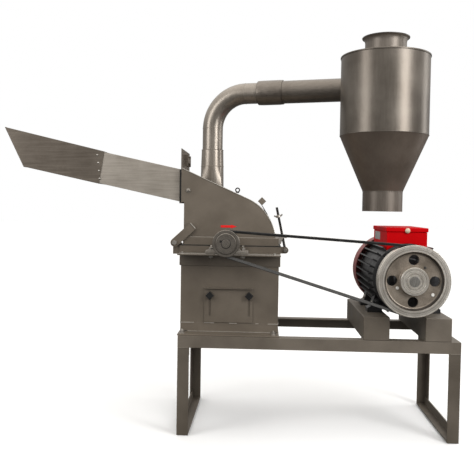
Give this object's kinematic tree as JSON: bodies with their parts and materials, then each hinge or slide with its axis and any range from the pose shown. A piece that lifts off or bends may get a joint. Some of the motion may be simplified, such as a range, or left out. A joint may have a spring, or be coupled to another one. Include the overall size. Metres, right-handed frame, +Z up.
{
  "type": "hammer mill",
  "caption": "Belt-driven hammer mill on an angle-iron stand, with a sloping feed chute, a blower and duct to a cyclone, and a finned electric motor.",
  "frame": {"origin": "bottom centre of the whole object's box, on the floor", "axes": "+X from the mill towards the motor, +Y from the belt side to the blower side, +Z up"},
  "size_m": [1.999, 0.758, 1.752],
  "materials": {
    "frame_paint": "semi-gloss enamel over rolled steel, grey-brown",
    "casing_paint": "semi-gloss enamel over sheet steel, grey-brown",
    "shelf_paint": "semi-gloss enamel, slightly lighter",
    "bearing_iron": "sand-cast, painted over",
    "chute_sheet": "bright rolled sheet",
    "duct_sheet": "metallic grey coat on rolled sheet, fine brushed look",
    "plain_steel": "turned and sawn steel",
    "machined_iron": "fresh turned grey iron with tool rings",
    "motor_black": "satin black enamel on cast iron",
    "cowl_red": "dull red enamel",
    "box_red": "gloss red enamel",
    "knob_black": "moulded",
    "belt_rubber": "cloth-covered V-belt rubber"
  },
  "bodies": {
    "machine": {"stand_top_frame": "frame_paint", "stand_leg_front_left": "frame_paint", "stand_leg_front_right": "frame_paint", "stand_leg_rear_right": "frame_paint", "stand_leg_rear_left": "frame_paint", "stand_runner_left": "frame_paint", "stand_runner_right": "frame_paint", "motor_rail_left": "frame_paint", "motor_rail_right": "frame_paint", "mill_base": "casing_paint", "lower_casing": "casing_paint", "bearing_shelf_front": "shelf_paint", "bearing_shelf_rear": "shelf_paint", "pillow_block_front": "bearing_iron", "pillow_block_rear": "bearing_iron", "sieve_screen": "plain_steel", "cover_hinge_pin": "plain_steel", "blower_housing": "casing_paint", "suction_duct": "casing_paint", "riser_base": "duct_sheet", "riser_elbow": "duct_sheet", "cross_duct": "duct_sheet", "cyclone_body": "duct_sheet", "cyclone_roof": "duct_sheet", "cyclone_spout": "duct_sheet", "motor_frame": "motor_black", "motor_end_shield": "motor_black", "fan_cowl": "cowl_red", "terminal_box": "box_red", "terminal_box_lid": "box_red", "drive_belt_front": "belt_rubber", "drive_belt_rear": "belt_rubber"},
    "cover": {"upper_casing": "casing_paint", "hinge_arm_front": "casing_paint", "hinge_arm_rear": "casing_paint", "lifting_eye": "plain_steel", "cover_catch": "casing_paint", "feed_chute_inner": "chute_sheet", "feed_chute_outer": "duct_sheet"},
    "feed_gate": {"feed_gate": "duct_sheet"},
    "swing_bolt": {"swing_bolt": "plain_steel"},
    "wing_nut": {"wing_nut": "plain_steel"},
    "damper_plate": {"damper_plate": "casing_paint"},
    "damper_knob_left": {"damper_knob_left": "knob_black"},
    "damper_knob_right": {"damper_knob_right": "knob_black"},
    "mill_rotor": {"mill_shaft": "plain_steel", "rotor_disc_front": "plain_steel", "rotor_disc_rear": "plain_steel", "hammer_pin_1": "plain_steel", "hammer_pin_2": "plain_steel", "hammer_pin_3": "plain_steel", "hammer_pin_4": "plain_steel", "mill_pulley": "machined_iron", "blower_impeller": "shelf_paint"},
    "hammer_bank_1": {"hammer_bank_1": "plain_steel"},
    "hammer_bank_2": {"hammer_bank_2": "plain_steel"},
    "hammer_bank_3": {"hammer_bank_3": "plain_steel"},
    "hammer_bank_4": {"hammer_bank_4": "plain_steel"},
    "motor_rotor": {"motor_rotor": "plain_steel", "motor_pulley": "machined_iron"}
  },
  "joints": [
    {"name": "motor_spin", "type": "hinge", "parent": "machine", "child": "motor_rotor", "pos_m": [0.7845, -0.311, 0.69], "axis": [0, 1, 0], "continuous": true},
    {"name": "mill_spin", "type": "hinge", "parent": "machine", "child": "mill_rotor", "pos_m": [0.0045, -0.311, 0.832], "axis": [0, 1, 0], "continuous": true},
    {"name": "hammer_swing_1", "type": "hinge", "parent": "mill_rotor", "child": "hammer_bank_1", "pos_m": [0.08228, -0.311, 0.90978], "axis": [0, 1, 0], "continuous": true},
    {"name": "hammer_swing_2", "type": "hinge", "parent": "mill_rotor", "child": "hammer_bank_2", "pos_m": [-0.07328, -0.311, 0.90978], "axis": [0, 1, 0], "continuous": true},
    {"name": "hammer_swing_3", "type": "hinge", "parent": "mill_rotor", "child": "hammer_bank_3", "pos_m": [-0.07328, -0.311, 0.75422], "axis": [0, 1, 0], "continuous": true},
    {"name": "hammer_swing_4", "type": "hinge", "parent": "mill_rotor", "child": "hammer_bank_4", "pos_m": [0.08228, -0.311, 0.75422], "axis": [0, 1, 0], "continuous": true},
    {"name": "cover_open", "type": "hinge", "parent": "machine", "child": "cover", "pos_m": [-0.2285, -0.311, 0.826], "axis": [0, -1, 0], "range_deg": [0, 75]},
    {"name": "swing_bolt_turn", "type": "hinge", "parent": "machine", "child": "swing_bolt", "pos_m": [0.2615, -0.0485, 0.789], "axis": [0, 1, 0], "range_deg": [0, 172.5]},
    {"name": "wing_nut_turn", "type": "hinge", "parent": "swing_bolt", "child": "wing_nut", "pos_m": [0.2615, -0.0485, 0.789], "axis": [-0.2114, 0, 0.9774], "continuous": true},
    {"name": "gate_slide", "type": "slide", "parent": "cover", "child": "feed_gate", "axis": [0, 0, 1], "range_m": [0, 0.13]},
    {"name": "damper_slide", "type": "slide", "parent": "machine", "child": "damper_plate", "axis": [0, 0, 1], "range_m": [0, 0.08]},
    {"name": "damper_knob_left_turn", "type": "hinge", "parent": "machine", "child": "damper_knob_left", "pos_m": [-0.0705, -0.241, 0.597], "axis": [0, 1, 0], "range_deg": [0, 270]},
    {"name": "damper_knob_right_turn", "type": "hinge", "parent": "machine", "child": "damper_knob_right", "pos_m": [0.1015, -0.241, 0.597], "axis": [0, 1, 0], "range_deg": [0, 270]}
  ],
  "couplings": [
    {"joint": "mill_spin", "follows": "motor_spin", "ratio": 2.6316},
    {"joint": "swing_bolt_turn", "follows": "cover_open", "ratio": 2.3}
  ]
}
